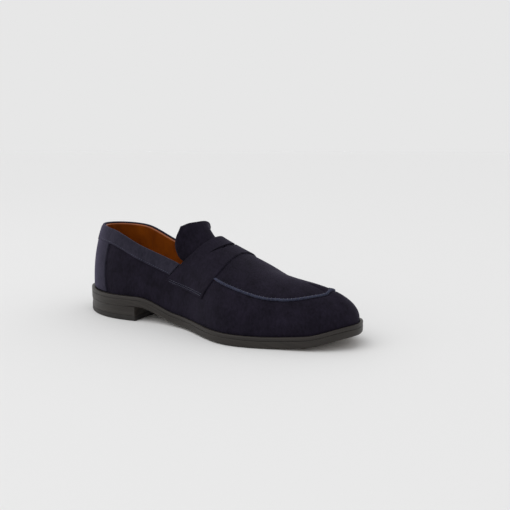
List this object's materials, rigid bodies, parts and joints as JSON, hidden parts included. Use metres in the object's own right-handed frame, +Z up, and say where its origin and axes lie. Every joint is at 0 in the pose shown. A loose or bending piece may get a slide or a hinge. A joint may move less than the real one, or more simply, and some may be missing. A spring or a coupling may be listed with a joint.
{
  "type": "penny loafer",
  "caption": "Right suede penny loafer with a raised apron seam, a slotted saddle over the instep, a stitched collar, and a low stacked heel.",
  "frame": {"origin": "middle of the sole's box in plan, at the ground under the sole", "axes": "+X towards the toe, +Y towards the inner side of the foot, +Z up"},
  "size_m": [0.3, 0.1081, 0.098],
  "materials": {
    "suede_navy": "napped dark navy suede",
    "suede_collar": "napped suede, a little lighter and bluer",
    "lining_tan": "smooth tan lining leather, satin",
    "sole_leather": "stained and waxed stacked leather edge",
    "welt_leather": "waxed leather, light top edge",
    "thread_blue": "waxed sewing thread",
    "rubber_heel": "matte moulded rubber",
    "cork": "pressed granulated cork",
    "steel": "plain steel",
    "board": "pressed fibre board",
    "foam": "soft foam padding"
  },
  "bodies": {
    "root": {"outsole": "sole_leather", "welt": "welt_leather", "vamp_wall": "suede_navy", "apron": "suede_navy", "apron_ridge": "suede_collar", "apron_stitches": "thread_blue", "saddle_strap": "suede_navy", "saddle_lining": "suede_navy", "saddle_stitches": "thread_blue", "collar_band": "suede_collar", "collar_stitches": "thread_blue", "backstay": "suede_collar", "heel_tab": "suede_navy", "tongue": "suede_navy", "tongue_lining": "lining_tan", "heel_top_piece": "rubber_heel", "heel_lift_1": "sole_leather", "heel_lift_2": "sole_leather", "heel_lift_3": "sole_leather", "heel_nails": "steel", "cork_filler": "cork", "steel_shank": "steel", "insole_board": "board", "heel_pad": "foam", "sock_liner": "lining_tan", "toe_lining": "lining_tan", "apron_lining": "lining_tan", "heel_lining": "lining_tan", "quarter_lining_outer": "lining_tan", "quarter_lining_inner": "lining_tan", "toe_puff": "board", "heel_counter": "board", "side_stiffener_outer": "board", "side_stiffener_inner": "board"}
  },
  "joints": []
}
